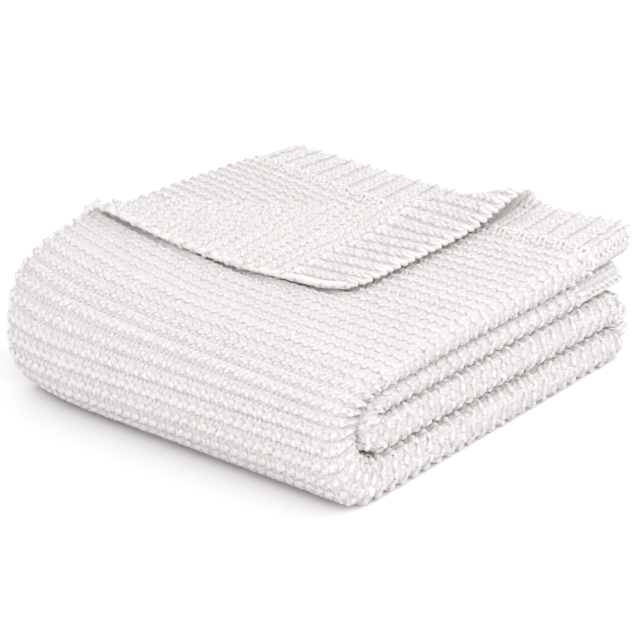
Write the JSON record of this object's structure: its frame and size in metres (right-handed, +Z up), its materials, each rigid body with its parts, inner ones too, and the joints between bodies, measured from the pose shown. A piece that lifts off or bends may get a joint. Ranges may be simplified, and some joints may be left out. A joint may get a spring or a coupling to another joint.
{
  "type": "folded chenille knit blanket",
  "caption": "Chunky ridged chenille knit throw, folded in thirds and then into a layered stack, with ribbed end bands and one top corner turned back.",
  "frame": {"origin": "middle of the folded stack's footprint, on the surface it lies on", "axes": "+X along the knitted ridges, toward the side where the rolled folds show; +Y toward the back, where the ends of the cloth lie; +Z up"},
  "size_m": [0.4429, 0.4847, 0.1703],
  "materials": {
    "chenille_yarn": "matt velvety chenille"
  },
  "bodies": {
    "root": {"knit_blanket": "chenille_yarn"}
  },
  "joints": []
}
